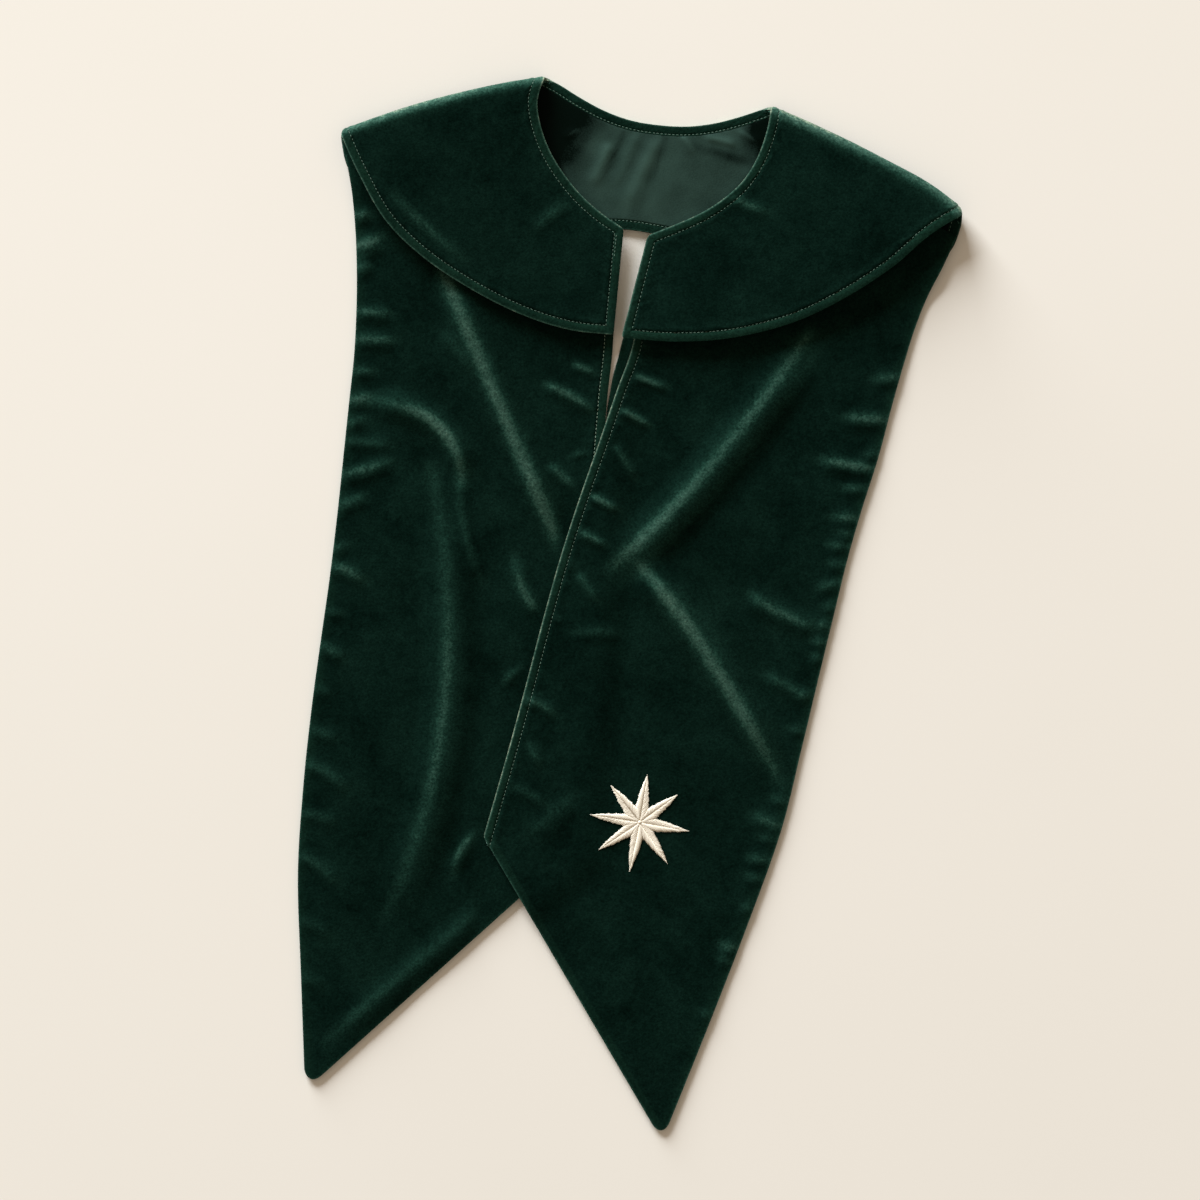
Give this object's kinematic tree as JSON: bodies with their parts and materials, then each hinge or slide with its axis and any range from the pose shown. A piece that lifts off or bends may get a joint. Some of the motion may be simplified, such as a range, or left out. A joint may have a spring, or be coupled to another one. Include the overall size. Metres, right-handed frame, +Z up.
{
  "type": "regalia collar",
  "caption": "Velvet cape collar lying flat, folded at the shoulders, with a round neck opening, a sateen lining, long crossed pointed panels and a stitched star.",
  "frame": {"origin": "on the surface the collar lies on, under the middle of its whole outline", "axes": "+Z up from the surface, +Y towards the back of the neck, +X towards the shoulder of the panel with the star"},
  "size_m": [0.4647, 0.7371, 0.0168],
  "materials": {
    "velvet": "deep green velvet with a short pile, lighter where the pile is brushed along folds and edges",
    "sateen": "smooth grey-green sateen with a soft gloss",
    "star_thread": "ivory satin-stitch thread with a silky gloss"
  },
  "bodies": {
    "root": {"cape_collar": "velvet", "collar_lining": "sateen", "neck_facing": "velvet", "hem_facing": "velvet", "left_panel": "velvet", "right_panel": "velvet", "embroidered_star": "star_thread"}
  },
  "joints": []
}
